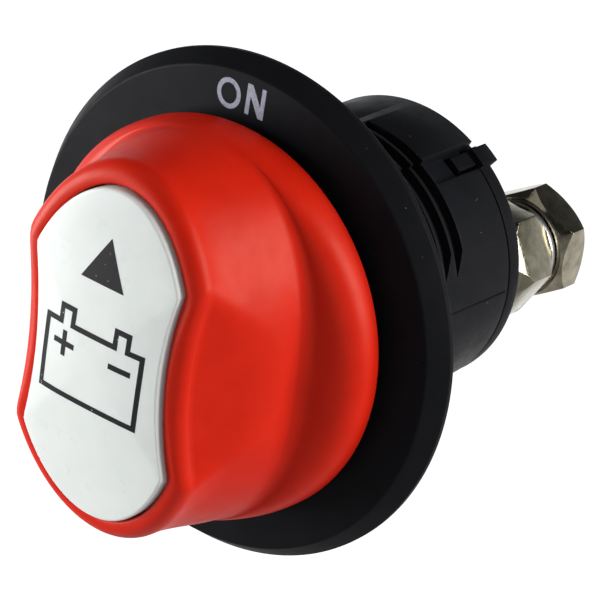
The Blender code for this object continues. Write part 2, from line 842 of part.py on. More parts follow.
def build_seal(material, parent):
    """A round-section sealing ring in the spindle's groove."""
    major = (SEAL_GROOVE_RADIUS + SHAFT_RADIUS + GAP) / 2.0
    minor = 0.6 * MM
    middle = (SEAL_GROOVE_FRONT + SEAL_GROOVE_BACK) / 2.0
    profile = []
    for i in range(8):
        a = math.tau * i / 8
        profile.append((major + minor * math.cos(a), middle + minor * math.sin(a)))
    return finish(turned("shaft_seal", profile, 24), material, parent, sharp_angle=80.0)


def build_thrust_washer(material):
    front = FRONT_WALL_BACK + GAP
    back = COLLAR_FRONT - GAP
    inner = SHAFT_RADIUS + 1.5 * GAP
    outer = COLLAR_RADIUS - 0.4 * MM
    profile = [(inner, front), (outer, front), (outer, back), (inner, back)]
    return finish(turned("thrust_washer", profile, 36), material)


# ---------------------------------------------------------------- lifting group


def build_carrier(material, parent):
    """A disc that slides along the barrel, with cam teeth in front and a stem for the bridge behind."""
    groove_front = BRIDGE_BACK + 0.1 * MM
    groove_back = groove_front + 1.4 * MM
    stem_groove = STEM_RADIUS - 0.9 * MM
    carrier = turned(
        "contact_carrier",
        [
            (0.0, CARRIER_FRONT),
            (CARRIER_RADIUS, CARRIER_FRONT),
            (CARRIER_RADIUS, CARRIER_BACK),
            (STEM_RADIUS, CARRIER_BACK),
            (STEM_RADIUS, groove_front),
            (stem_groove, groove_front),
            (stem_groove, groove_back),
            (STEM_RADIUS, groove_back),
            (STEM_RADIUS, STEM_END - 0.4 * MM),
            (STEM_RADIUS - 0.4 * MM, STEM_END),
            (0.0, STEM_END),
        ],
        48,
    )
    x = CARRIER_KEY_HALF_WIDTH
    z = CARRIER_KEY_RADIUS
    for side in (1.0, -1.0):
        z0, z1 = sorted((side * (CARRIER_RADIUS - 1.5 * MM), side * z))
        join(carrier, box("key", -x, x, CARRIER_FRONT - 2.5 * MM, CARRIER_BACK, z0, z1))
        z0, z1 = sorted((side * (BRIDGE_HALF_HEIGHT + 1.3 * GAP), side * (BRIDGE_HALF_HEIGHT + 2.2 * MM)))
        rib_back = BRIDGE_FRONT + 0.9 * MM
        join(carrier, box("rib", -8.0 * MM, 8.0 * MM, CARRIER_BACK - 0.5 * MM, rib_back, z0, z1))
    for start in (0.0, 180.0):
        tooth = cam_tooth("tooth", start, CARRIER_FRONT + 0.8 * MM, CAM_LOW + GAP)
        join(carrier, tooth)
    return finish(carrier, material, parent)


def build_bridge(material, parent):
    """The copper bar that joins the two stud heads."""
    x = BRIDGE_HALF_LENGTH
    z = BRIDGE_HALF_HEIGHT
    clip = 1.2 * MM
    outline = [
        (-x + clip, -z),
        (x - clip, -z),
        (x, -z + clip),
        (x, z - clip),
        (x - clip, z),
        (-x + clip, z),
        (-x, z - clip),
        (-x, -z + clip),
    ]
    bridge = prism("contact_bridge", outline, BRIDGE_FRONT, BRIDGE_BACK)
    hole = disc_profile(STEM_RADIUS + GAP, BRIDGE_FRONT - 1.0 * MM, BRIDGE_BACK + 1.0 * MM)
    cut(bridge, turned("hole", hole, 24))
    return finish(bridge, material, parent)


def build_bridge_clip(material, parent):
    """An open ring that snaps into the stem's groove behind the bridge."""
    front = BRIDGE_BACK + GAP + 0.1 * MM
    back = front + 0.7 * MM
    inner = STEM_RADIUS - 0.9 * MM + GAP
    clip = ring_sector("bridge_clip", inner, 4.7 * MM, 35.0, 325.0, front, back, step=14.5)
    return finish(clip, material, parent)


def build_contact_spring(material, parent):
    spring = coil(
        "contact_spring",
        CONTACT_SPRING_RADIUS,
        WIRE_RADIUS,
        CARRIER_BACK + GAP,
        BRIDGE_FRONT - GAP,
        2.25,
        steps_per_turn=16,
    )
    return finish(spring, material, parent, sharp_angle=80.0)


# ---------------------------------------------------------------- assembly


def clear_scene():
    for obj in list(bpy.data.objects):
        bpy.data.objects.remove(obj, do_unlink=True)


def add_group(name):
    group = bpy.data.objects.new(name, None)
    group.empty_display_size = 0.02
    bpy.context.collection.objects.link(group)
    return group


def build():
    clear_scene()
    black = make_material("black_plastic", (0.012, 0.012, 0.013), 0.5)
    red = make_material("red_plastic", (0.62, 0.02, 0.012), 0.38)
    white = make_material("white_plastic", (0.8, 0.81, 0.8), 0.35)
    nylon = make_material("natural_nylon", (0.6, 0.57, 0.48), 0.45)
    rubber = make_material("black_rubber", (0.02, 0.02, 0.02), 0.8)
    copper = make_material("copper", (0.72, 0.34, 0.2), 0.3, 1.0)
    brass = make_material("brass", (0.7, 0.52, 0.25), 0.3, 1.0)
    nickel = make_material("nickel_plate", (0.66, 0.63, 0.55), 0.22, 1.0)
    steel = make_material("spring_steel", (0.5, 0.5, 0.5), 0.35, 1.0)

    build_housing(black)
    build_end_plate(black)
    build_terminals(brass, nickel, steel)
    build_return_springs(steel)
    build_thrust_washer(nylon)

    turning = add_group("turning_group")
    build_knob(red, turning)
    build_insert(white, turning)
    build_knob_screw(steel, turning)
    build_screw_washer(steel, turning)
    build_spindle(nylon, turning)
    build_seal(rubber, turning)

    lifting = add_group("lifting_group")
    build_carrier(nylon, lifting)
    build_contact_spring(steel, lifting)
    build_bridge_clip(steel, lifting)
    build_bridge(copper, lifting)


build()
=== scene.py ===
"""Looks of the panel-mounted rotary battery switch.

The switch axis is Y: the knob faces -Y and the studs point to +Y. Angles round the axis are clock
angles in degrees: 0 is up (+Z) and they grow towards +X, as seen from the knob. Sizes are in metres.
"""

import math

import bmesh
import bpy
from mathutils import Matrix, Vector


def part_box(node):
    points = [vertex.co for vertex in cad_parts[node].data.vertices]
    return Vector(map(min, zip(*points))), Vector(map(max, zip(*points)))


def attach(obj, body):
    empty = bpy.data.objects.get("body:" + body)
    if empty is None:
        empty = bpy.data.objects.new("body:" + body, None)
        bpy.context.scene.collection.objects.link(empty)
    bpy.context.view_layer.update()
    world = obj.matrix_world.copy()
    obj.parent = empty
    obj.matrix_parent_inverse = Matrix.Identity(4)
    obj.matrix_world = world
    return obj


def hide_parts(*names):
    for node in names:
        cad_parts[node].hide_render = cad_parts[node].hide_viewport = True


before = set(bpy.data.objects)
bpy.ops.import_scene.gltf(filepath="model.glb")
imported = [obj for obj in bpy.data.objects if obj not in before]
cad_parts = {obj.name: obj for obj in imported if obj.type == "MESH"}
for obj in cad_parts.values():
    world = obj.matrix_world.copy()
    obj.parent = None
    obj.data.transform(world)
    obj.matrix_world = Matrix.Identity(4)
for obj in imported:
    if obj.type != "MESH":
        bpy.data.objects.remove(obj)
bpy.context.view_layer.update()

MM = 0.001
FINE = 192
BODY = "switch_body"
TURNING = "knob_group"
CROWN_CLEARANCE = 0.03 * MM


def box_low(node):
    return Vector(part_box(node)[0])


def box_high(node):
    return Vector(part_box(node)[1])


# Sizes read from the frame
FLANGE_RADIUS = box_high("housing").x
KNOB_RADIUS = box_high("knob").x
KNOB_BACK = box_high("knob").y
LIP_FRONT = box_low("knob").y
INSERT_CROWN = box_low("knob_insert").y + CROWN_CLEARANCE
POCKET_FLOOR = box_high("knob_insert").y
BEARING_FRONT = box_low("housing").y
RIB_TAIL = box_high("housing").y
PLATE_RADIUS = box_high("end_plate").x
EAR_BACK = box_high("end_plate").y
STUD_END = box_high("stud_right").y
CLAMP_NUT = (box_low("clamp_nut_right").y, box_high("clamp_nut_right").y)
TERMINAL_NUT = (box_low("terminal_nut_right").y, box_high("terminal_nut_right").y)
LOCK_WASHER = (box_low("lock_washer_right").y, box_high("lock_washer_right").y)
STUD_OFFSET = 0.5 * (box_high("terminal_nut_right").x + box_low("terminal_nut_right").x)

# Housing. A slot's angles are its start, its full depth, its taper and its end.
FLANGE_FACE = -3.3 * MM
FLANGE_FACE_RADIUS = 30.8 * MM
FLANGE_EDGE = 0.8 * MM
BARREL_RADIUS = 18.8 * MM
BARREL_BORE = 16.9 * MM
BARREL_LENGTH = 31.0 * MM
BEARING_BORE = 7.0 * MM
BEARING_BOSS = 10.0 * MM
FRONT_WALL_BACK = 2.0 * MM
RIB_RADIUS = 19.4 * MM
RIB_ROOT = 0.7 * MM
RIB_HALF_ANGLE = 29.8
CHANNEL = (29.5, 40.0)
CHANNEL_FRONT = 22.0 * MM
CHANNEL_FLOOR = 17.8 * MM
WINDOW_FRONT = 27.2 * MM
WINDOW_LEDGE = 0.6
SEAM_ANGLE = 90.5
SEAM_HALF_ANGLE = 0.25
SEAM_DEPTH = 0.12 * MM
SEAM_SPAN = (0.5 * MM, 30.3 * MM)
SLOT_FLOOR = 17.6 * MM
SLOT_FLOOR_AT_GUIDE = 18.5 * MM
SLOT_ANGLES = (1.5, 12.0, 67.0, 76.3)
SLOT_PITCH = 2.4 * MM
SLOT_WIDTH = 1.9 * MM
SLOT_LAST_BACK = 21.65 * MM
SLOT_COUNT = 5

# End plate
PLATE_FRONT = 31.3 * MM
PLATE_BACK = 33.7 * MM
SPIGOT_RADIUS = 16.6 * MM
SPIGOT_FRONT = 28.0 * MM
EAR_RADIUS = 19.3 * MM
EAR_ANGLES = (32.0, 40.0)
ARM_FRONT = 27.6 * MM
STUD_HOLE_RADIUS = 4.2 * MM

# Knob. The face falls back by FACE_CURVE times the square of the height above the axis.
KNOB_SHOULDER = -6.2 * MM
GRIP_ROOT = -10.6 * MM
GRIP_ROOT_HALF_WIDTH = 18.1 * MM
GRIP_ROOT_HALF_HEIGHT = 25.2 * MM
GRIP_ROOT_POWER = 1.9
GRIP_FLARE = 0.8 * MM
GRIP_FLARE_SHARE = 0.2
DOME_POWER = 0.87
LIP_ROUNDING = 2.0 * MM
LIP_HALF_WIDTH = 16.2 * MM
LIP_HALF_HEIGHT = 24.2 * MM
SCOOP_RADIUS = 52.0 * MM
SCOOP_WAIST = 12.4 * MM
SCOOP_WAIST_AT_ROOT = 20.6 * MM
FACE_CURVE = 3.7
KNOB_WALL = 2.6 * MM
KNOB_EDGE = 0.6 * MM
POCKET_EDGE = 0.35 * MM
SCREW_WELL_RADIUS = 4.8 * MM
SCREW_WELL_DEPTH = 4.0 * MM
HUB_RADII = (7.5 * MM, 9.5 * MM)
HUB_BACK = -9.0 * MM
POCKET_WALL = 2.2 * MM
INSERT_HALF_WIDTH = 13.3 * MM
INSERT_HALF_HEIGHT = 21.2 * MM
INSERT_WAIST = 9.6 * MM
INSERT_SCOOP_RADIUS = 46.0 * MM
INSERT_CLEARANCE = 0.25 * MM
INSERT_EDGE = -26.7 * MM
INSERT_ROUNDING = 0.4 * MM

# Prints. The sign's places are (x, z) on the insert before it is tilted and shifted.
PRINT_LIFT = 0.015 * MM
SIGN_HALF_WIDTH = 7.38 * MM
SIGN_BOTTOM = -5.58 * MM
SIGN_SHOULDER = 3.64 * MM
SIGN_TOP = 5.7 * MM
SIGN_POSTS = ((-5.22 * MM, -3.32 * MM), (3.32 * MM, 5.22 * MM))
SIGN_MARK = (4.38 * MM, 0.98 * MM)
SIGN_MARK_HALF = 1.3 * MM
SIGN_ARROW = ((-3.45 * MM, 10.25 * MM), (-0.1 * MM, 16.05 * MM), (3.25 * MM, 10.25 * MM))
SIGN_LINE = 0.72 * MM
SIGN_TILT = 3.2
SIGN_SHIFT = -0.35 * MM
LABEL_RADIUS = 27.8 * MM
LABEL_HEIGHT = 3.9 * MM
LABEL_STROKE = 0.62 * MM
LABEL_SPACE = 0.85 * MM
LETTER_WIDTHS = {"O": 3.67 * MM, "N": 2.85 * MM, "F": 2.3 * MM}

# Terminals. Chamfers are given for the front and back face, a bevel as its length and inset.
STUD_RADIUS = 3.9 * MM
STUD_CHAMFER = 0.9 * MM
THREAD_PITCH = 1.25 * MM
THREAD_DEPTH = 0.55 * MM
NUT_FLAT = 6.9 * MM
NUT_FACE_SHARE = 0.96
NUT_BORE = 4.15 * MM
NUT_BORE_RIM = 4.75 * MM
CLAMP_NUT_CHAMFERS = (2.5 * MM, 2.0 * MM)
CLAMP_NUT_BEVEL = (1.7 * MM, 0.4 * MM)
CLAMP_NUT_TURN = -3.0
TERMINAL_NUT_CHAMFERS = (1.7 * MM, 1.2 * MM)
TERMINAL_NUT_BEVEL = (0.4 * MM, 0.08 * MM)
TERMINAL_NUT_TURN = 28.0
LOCK_WASHER_RADIUS = 6.15 * MM
LOCK_WASHER_BORE = 4.25 * MM
LOCK_WASHER_EDGE = 0.2 * MM
LOCK_WASHER_START = -84.0
LOCK_WASHER_SWEEP = 348.0

# Camera, with distances in flange radii and angles in degrees
CAMERA_AZIMUTH = 38.19
CAMERA_ELEVATION = 18.75
CAMERA_ROLL = 7.5
CAMERA_RIGHT = 0.288
CAMERA_UP = 0.037
CAMERA_DISTANCE = 12.83
CAMERA_LENS = 203.5

# Stage. The floor's tone changes over a range of Y. A sky fade is an axis, the range of the
# direction's component along it, and the strength at both ends of that range.
FLOOR_HALF_SIZE = 30.0
FLOOR_HEIGHT = -1.0
FLOOR_SHADE = (0.7, 1.5)
FLOOR_TONES = (0.4, 0.95)
FLOOR_GLOW = 1.05
SKY_FADE_UPWARDS = ("Z", 0.05, 0.5, 1.0, 0.1)
SKY_FADE_FORWARDS = ("Y", 0.3, 0.95, 0.42, 1.0)


# ---------------------------------------------------------------- mesh helpers


def clock_point(radius, angle, y):
    a = math.radians(angle)
    return Vector((radius * math.sin(a), y, radius * math.cos(a)))


def clock_angles(count=FINE):
    return [360.0 * i / count for i in range(count)]


def circle(radius, y, count=FINE):
    return [clock_point(radius, a, y) for a in clock_angles(count)]


def finished_object(name, bm):
    mesh = bpy.data.meshes.new(name)
    bm.to_mesh(mesh)
    bm.free()
    obj = bpy.data.objects.new(name, mesh)
    bpy.context.collection.objects.link(obj)
    return obj


def object_from_bmesh(name, bm):
    bmesh.ops.recalc_face_normals(bm, faces=bm.faces)
    return finished_object(name, bm)


def loft(name, rings):
    """Skin a series of rings. A ring of one point is a pole; without poles the last meets the first."""
    bm = bmesh.new()
    loops = [[bm.verts.new(p) for p in ring] for ring in rings]
    pairs = list(zip(loops, loops[1:]))
    if len(rings[0]) > 1 and len(rings[-1]) > 1:
        pairs.append((loops[-1], loops[0]))
    for first, second in pairs:
        count = max(len(first), len(second))
        for i in range(count):
            j = (i + 1) % count
            if len(first) == 1:
                bm.faces.new((first[0], second[j], second[i]))
            elif len(second) == 1:
                bm.faces.new((first[i], first[j], second[0]))
            else:
                bm.faces.new((first[i], first[j], second[j], second[i]))
    return object_from_bmesh(name, bm)


def turned(name, profile, count=FINE):
    """A body turned round the switch axis from (radius, y) points."""
    rings = [[Vector((0.0, y, 0.0))] if r == 0.0 else circle(r, y, count) for r, y in profile]
    return loft(name, rings)


def sweep_sections(name, sections):
    """Skin a series of closed sections and cap both ends."""
    bm = bmesh.new()
    loops = [[bm.verts.new(p) for p in section] for section in sections]
    for first, second in zip(loops, loops[1:]):
        for i in range(len(first)):
            j = (i + 1) % len(first)
            bm.faces.new((first[i], first[j], second[j], second[i]))
    bm.faces.new(loops[0])
    bm.faces.new(loops[-1])
    return object_from_bmesh(name, bm)


def ring_sector(name, r0, r1, start, end, y0, y1, y1_end=None, step=1.5):
    """A block between two radii and two clock angles. Its back may slope from y1 to y1_end."""
    steps = max(1, math.ceil(abs(end - start) / step))
    sections = []
    for i in range(steps + 1):
        t = i / steps
        angle = start + (end - start) * t
        back = y1 if y1_end is None else y1 + (y1_end - y1) * t
        corners = ((r0, y0), (r1, y0), (r1, back), (r0, back))
        sections.append([clock_point(r, angle, y) for r, y in corners])
    return sweep_sections(name, sections)


def rounded_corner(corner, before, after, radius, steps=5):
    """Points of an arc that rounds a profile corner between its two neighbours."""
    c = Vector(corner)
    to_before = (Vector(before) - c).normalized()
    to_after = (Vector(after) - c).normalized()
    half = 0.5 * to_before.angle(to_after)
    reach = radius / math.tan(half)
    centre = c + (to_before + to_after).normalized() * (radius / math.sin(half))
    first = c + to_before * reach - centre
    last = c + to_after * reach - centre
    sweep = first.angle_signed(last)
    points = []
    for i in range(steps + 1):
        a = -sweep * i / steps
        turned_arm = Vector(
            (
                first.x * math.cos(a) - first.y * math.sin(a),
                first.x * math.sin(a) + first.y * math.cos(a),
            )
        )
        points.append(tuple(centre + turned_arm))
    return points


def rounded_profile(points, closed=True):
    """A profile of (radius, y, rounding) corners, each rounded by its own radius."""
    result = []
    count = len(points)
    for i, (r, y, rounding) in enumerate(points):
        if rounding == 0.0 or (not closed and i in (0, count - 1)):
            result.append((r, y))
            continue
        before = points[(i - 1) % count][:2]
        after = points[(i + 1) % count][:2]
        result += rounded_corner((r, y), before, after, rounding)
    return result


def boolean(target, tool, operation):
    modifier = target.modifiers.new(operation, "BOOLEAN")
    modifier.operation = operation
    modifier.solver = "EXACT"
    modifier.object = tool
    depsgraph = bpy.context.evaluated_depsgraph_get()
    mesh = bpy.data.meshes.new_from_object(target.evaluated_get(depsgraph))
    target.modifiers.clear()
    target.data = mesh
    bpy.data.objects.remove(tool, do_unlink=True)


def cut(target, tool):
    boolean(target, tool, "DIFFERENCE")


def join(target, tool):
    boolean(target, tool, "UNION")


def soften_edges(obj, width, segments=2, angle=35.0):
    """Apply a small bevel to every sharp edge."""
    modifier = obj.modifiers.new("soften", "BEVEL")
    modifier.width = width
    modifier.segments = segments
    modifier.limit_method = "ANGLE"
    modifier.angle_limit = math.radians(angle)
    modifier.use_clamp_overlap = True
    depsgraph = bpy.context.evaluated_depsgraph_get()
    mesh = bpy.data.meshes.new_from_object(obj.evaluated_get(depsgraph))
    obj.modifiers.clear()
    obj.data = mesh


def dress(obj, material, body, slot, sharp_angle=40.0):
    """Give a visual piece its material and shading, and let it ride on its body."""
    obj.data.materials.clear()
    obj.data.materials.append(material)
    obj.data.shade_smooth()
    obj.data.set_sharp_from_angle(angle=math.radians(sharp_angle))
    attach(obj, body)
    return obj


# ---------------------------------------------------------------- outlines of the grip


def smooth_min(a, b, blend):
    near = max(blend - abs(a - b), 0.0)
    return min(a, b) - near * near / (4.0 * blend)


def oval_radius(angle, half_width, half_height):
    """Distance from the axis to an upright ellipse."""
    a = math.radians(angle)
    return 1.0 / math.hypot(math.sin(a) / half_width, math.cos(a) / half_height)


def scoop_distance(angle, waist, radius):
    """Distance from the axis to a round hollow in the side, or a large value where the ray misses it."""
    across = abs(math.sin(math.radians(angle)))
    centre = waist + radius
    inside = radius**2 - centre**2 * (1.0 - across**2)
    if inside <= 0.0:
        return 1.0
    return centre * across - math.sqrt(inside)


def grip_root_radius(angle):
    """The rounded oval where the grip meets the knob's base."""
    up = abs(math.cos(math.radians(angle)))
    spread = GRIP_ROOT_HALF_HEIGHT - GRIP_ROOT_HALF_WIDTH
    return GRIP_ROOT_HALF_WIDTH + spread * up**GRIP_ROOT_POWER


def root_flare(angle, share):
    """How far the grip's sides curve outwards where they run into the base."""
    side = math.sin(math.radians(angle)) ** 2
    return GRIP_FLARE * side * max(0.0, 1.0 - share / GRIP_FLARE_SHARE) ** 2


def grip_radius(angle, share):
    """The grip's outline, from the root (share 0) to the lip (share 1)."""
    ease = share * share * (3.0 - 2.0 * share)
    end = oval_radius(angle, LIP_HALF_WIDTH, LIP_HALF_HEIGHT)
    column = grip_root_radius(angle) * (1.0 - ease) + end * ease
    waist = SCOOP_WAIST + (SCOOP_WAIST_AT_ROOT - SCOOP_WAIST) * (1.0 - share)
    hollow = scoop_distance(angle, waist, SCOOP_RADIUS)
    return smooth_min(column, hollow, 1.0 * MM) + root_flare(angle, share)


def insert_radius(angle):
    end = oval_radius(angle, INSERT_HALF_WIDTH, INSERT_HALF_HEIGHT)
    hollow = scoop_distance(angle, INSERT_WAIST, INSERT_SCOOP_RADIUS)
    return smooth_min(end, hollow, 0.4 * MM)


def outline_ring(radius_at, y, curve=0.0):
    """A ring that follows an outline. A curve makes it fall back above and below the middle."""
    ring = [clock_point(radius_at(a), a, y) for a in clock_angles()]
    for point in ring:
        point.y += curve * point.z**2
    return ring


def grip_ring(share, y, inset=0.0, curve=0.0):
    return outline_ring(lambda a: grip_radius(a, share) - inset, y, curve)


def column_ring(share, inset=0.0):
    """A ring of the grip's side. Rings near the lip follow the curve of the knob's face."""
    end = LIP_FRONT + LIP_ROUNDING
    return grip_ring(share, GRIP_ROOT + (end - GRIP_ROOT) * share, inset, FACE_CURVE * share)


def insert_surface(x, z):
    """Depth along Y of the insert's domed face at a point."""
    angle = math.degrees(math.atan2(x, z))
    reach = insert_radius(angle) - INSERT_ROUNDING
    share = min(math.hypot(x, z) / reach, 1.0)
    rim = INSERT_EDGE - INSERT_ROUNDING
    return rim + (INSERT_CROWN - rim) * (1.0 - share * share) + FACE_CURVE * z * z


# ---------------------------------------------------------------- materials


class Nodes:
    """A thin wrapper that builds one node material."""

    def __init__(self, name):
        self.material = bpy.data.materials.new(name)
        self.material.use_nodes = True
        self.tree = self.material.node_tree
        self.shader = self.tree.nodes["Principled BSDF"]
        self.coords = self.tree.nodes.new("ShaderNodeTexCoord").outputs["Object"]

    def link(self, output, target):
        self.tree.links.new(output, target)

    def noise(self, size, detail=3.0, roughness=0.5, stretch=None):
        """Noise whose blobs are about size metres across."""
        node = self.tree.nodes.new("ShaderNodeTexNoise")
        node.inputs["Scale"].default_value = 1.0 / size
        node.inputs["Detail"].default_value = detail
        node.inputs["Roughness"].default_value = roughness
        source = self.coords
        if stretch is not None:
            mapping = self.tree.nodes.new("ShaderNodeMapping")
            mapping.inputs["Scale"].default_value = stretch
            self.link(source, mapping.inputs["Vector"])
            source = mapping.outputs["Vector"]
        self.link(source, node.inputs["Vector"])
        return node.outputs["Fac"]

    def ramp(self, value, stops):
        node = self.tree.nodes.new("ShaderNodeValToRGB")
        elements = node.color_ramp.elements
        while len(elements) < len(stops):
            elements.new(0.5)
        for element, (position, color) in zip(elements, stops):
            element.position = position
            element.color = (*color, 1.0)
        self.link(value, node.inputs["Fac"])
        return node.outputs["Color"]

    def scaled(self, value, low, high):
        node = self.tree.nodes.new("ShaderNodeMapRange")
        node.inputs["From Min"].default_value = 0.3
        node.inputs["From Max"].default_value = 0.7
        node.inputs["To Min"].default_value = low
        node.inputs["To Max"].default_value = high
        self.link(value, node.inputs["Value"])
        return node.outputs["Result"]

    def mix(self, factor, first, second):
        node = self.tree.nodes.new("ShaderNodeMix")
        node.data_type = "RGBA"
        for socket, value in (("Factor_Float", factor), ("A_Color", first), ("B_Color", second)):
            target = next(s for s in node.inputs if s.identifier == socket)
            if isinstance(value, tuple):
                target.default_value = (*value, 1.0)
            else:
                self.link(value, target)
        return next(s for s in node.outputs if s.identifier == "Result_Color")

    def bump(self, layers):
        """Stack (height output, depth in metres) layers of bump."""
        normal = None
        for height, depth in layers:
            node = self.tree.nodes.new("ShaderNodeBump")
            node.inputs["Strength"].default_value = 1.0
            node.inputs["Distance"].default_value = depth
            self.link(height, node.inputs["Height"])
            if normal is not None:
                self.link(normal, node.inputs["Normal"])
            normal = node.outputs["Normal"]
        self.link(normal, self.shader.inputs["Normal"])

    def set(self, **values):
        for name, value in values.items():
            self.shader.inputs[name.replace("_", " ")].default_value = value


def plastic_material(name, dark, light, rough, grain, shine=0.4, subsurface=0.0, tint=(1.0, 1.0, 1.0)):
    """Moulded plastic: a soft drift of colour, uneven gloss and a fine moulded grain."""
    n = Nodes(name)
    drift = n.noise(6.0 * MM, 4.0, 0.55)
    n.link(n.ramp(drift, ((0.3, dark), (0.7, light))), n.shader.inputs["Base Color"])
    gloss = n.noise(2.5 * MM, 5.0, 0.6)
    n.link(n.scaled(gloss, rough[0], rough[1]), n.shader.inputs["Roughness"])
    fine = n.noise(0.12 * MM, 2.0, 0.5)
    ripple = n.noise(3.0 * MM, 2.0, 0.4)
    n.bump(((ripple, grain * 2.0), (fine, grain)))
    n.set(Specular_IOR_Level=shine, Specular_Tint=(*tint, 1.0))
    n.set(Subsurface_Weight=subsurface, Subsurface_Scale=1.0 * MM)
    return n.material


def black_material():
    """Black moulded plastic with a fine grain and a few pale specks of dust."""
    n = Nodes("black_moulding")
    drift = n.noise(7.0 * MM, 4.0, 0.6)
    base = n.ramp(drift, ((0.3, (0.0054, 0.0056, 0.0068)), (0.7, (0.0074, 0.0076, 0.0092))))
    dust = n.noise(0.55 * MM, 1.0, 0.4)
    mask = n.ramp(dust, ((0.8, (0.0, 0.0, 0.0)), (0.82, (0.3, 0.3, 0.3))))
    n.link(n.mix(mask, base, (0.22, 0.22, 0.21)), n.shader.inputs["Base Color"])
    gloss = n.noise(3.0 * MM, 5.0, 0.6)
    n.link(n.scaled(gloss, 0.36, 0.5), n.shader.inputs["Roughness"])
    waves = n.noise(4.0 * MM, 2.0, 0.4)
    grain = n.noise(0.14 * MM, 2.0, 0.5)
    n.bump(((waves, 0.012 * MM), (grain, 0.006 * MM)))
    n.set(Specular_IOR_Level=0.032)
    return n.material


def ink_material(name, ink, under, chip_size, chips):
    """Printed ink with small chips that show what is under it."""
    n = Nodes(name)
    blotch = n.noise(0.5 * MM, 3.0, 0.7)
    darker = tuple(0.8 * c for c in ink)
    tone = n.ramp(blotch, ((0.35, darker), (0.65, ink)))
    chip = n.noise(chip_size, 3.0, 0.65)
    mask = n.ramp(chip, ((chips, (0.0, 0.0, 0.0)), (chips + 0.015, (1.0, 1.0, 1.0))))
    n.link(n.mix(mask, tone, under), n.shader.inputs["Base Color"])
    n.link(n.scaled(blotch, 0.4, 0.6), n.shader.inputs["Roughness"])
    n.bump(((chip, 0.01 * MM),))
    n.set(Specular_IOR_Level=0.1)
    return n.material


def metal_material(name, dark, light, rough, pit, stretch=None):
    """Plated or drawn metal with a slight tint, uneven gloss and fine pits."""
    n = Nodes(name)
    stain = n.noise(2.2 * MM, 5.0, 0.65, stretch)
    n.link(n.ramp(stain, ((0.3, dark), (0.7, light))), n.shader.inputs["Base Color"])
    gloss = n.noise(0.7 * MM, 4.0, 0.6, stretch)
    n.link(n.scaled(gloss, rough[0], rough[1]), n.shader.inputs["Roughness"])
    dents = n.noise(1.4 * MM, 3.0, 0.5, stretch)
    pits = n.noise(0.18 * MM, 2.0, 0.5, stretch)
    n.bump(((dents, pit * 3.0), (pits, pit)))
    n.set(Metallic=1.0)
    return n.material


# ---------------------------------------------------------------- knob


def knob_rings():
    """Every ring of the knob's skin, from its back edge over the grip and into its hollow."""
    rings = []
    for degrees in (0.0, 30.0, 60.0, 90.0):
        t = math.radians(degrees)
        radius = KNOB_RADIUS - KNOB_EDGE * (1.0 - math.sin(t))
        rings.append(circle(radius, KNOB_BACK - KNOB_EDGE * (1.0 - math.cos(t))))
    rings.append(circle(KNOB_RADIUS, KNOB_SHOULDER))
    rings += base_dome_rings()
    steps = 26
    first = 0.04
    rings += [column_ring(first + (1.0 - first) * i / steps) for i in range(1, steps + 1)]
    return rings + lip_rings() + hollow_rings()


def base_dome_rings():
    """The rounded shoulder from the knob's round edge in to the oval root of the grip."""
    rings = []
    height = KNOB_SHOULDER - GRIP_ROOT
    for degrees in range(6, 85, 6):
        t = math.radians(degrees)

        def radius_at(angle, share=math.cos(t) ** DOME_POWER):
            root = grip_root_radius(angle) + root_flare(angle, 0.0)
            return root + (KNOB_RADIUS - root) * share

        rings.append(outline_ring(radius_at, KNOB_SHOULDER - height * math.sin(t) ** DOME_POWER))
    return rings


def lip_rings():
    """From the grip's side over the rounded lip and down into the insert's pocket."""
    rings = []
    for degrees in range(9, 91, 9):
        t = math.radians(degrees)
        inset = LIP_ROUNDING * (1.0 - math.cos(t))
        y = LIP_FRONT + LIP_ROUNDING * (1.0 - math.sin(t))
        rings.append(grip_ring(1.0, y, inset, FACE_CURVE))
    edge = LIP_FRONT + 0.05 * MM
    for degrees in (0.0, 30.0, 60.0, 90.0):
        t = math.radians(degrees)
        beyond = INSERT_CLEARANCE + POCKET_EDGE * (1.0 - math.sin(t))

        def radius_at(angle, extra=beyond):
            return insert_radius(angle) + extra

        rings.append(outline_ring(radius_at, edge + POCKET_EDGE * (1.0 - math.cos(t)), FACE_CURVE))
    return rings


def hollow_rings():
    """The pocket's wall and floor, the screw's counterbore, the hub and the knob's hollow back."""
    floor = POCKET_FLOOR + 0.3 * MM
    well_floor = floor + SCREW_WELL_DEPTH
    ceiling = floor + POCKET_WALL
    return [
        outline_ring(lambda a: insert_radius(a) + INSERT_CLEARANCE, floor),
        circle(SCREW_WELL_RADIUS, floor),
        circle(SCREW_WELL_RADIUS, well_floor),
        circle(HUB_RADII[0], well_floor),
        circle(HUB_RADII[0], HUB_BACK),
        circle(HUB_RADII[1], HUB_BACK),
        circle(HUB_RADII[1], ceiling),
        grip_ring(0.72, ceiling, KNOB_WALL),
        column_ring(0.3, KNOB_WALL),
        grip_ring(0.05, GRIP_ROOT, KNOB_WALL),
        circle(KNOB_RADIUS - KNOB_WALL, KNOB_SHOULDER - 0.6 * MM),
        circle(KNOB_RADIUS - KNOB_WALL, KNOB_BACK),
    ]


def build_knob(material):
    knob = dress(loft("knob_skin", knob_rings()), material, TURNING, "red_plastic", 50.0)
    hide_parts("knob")


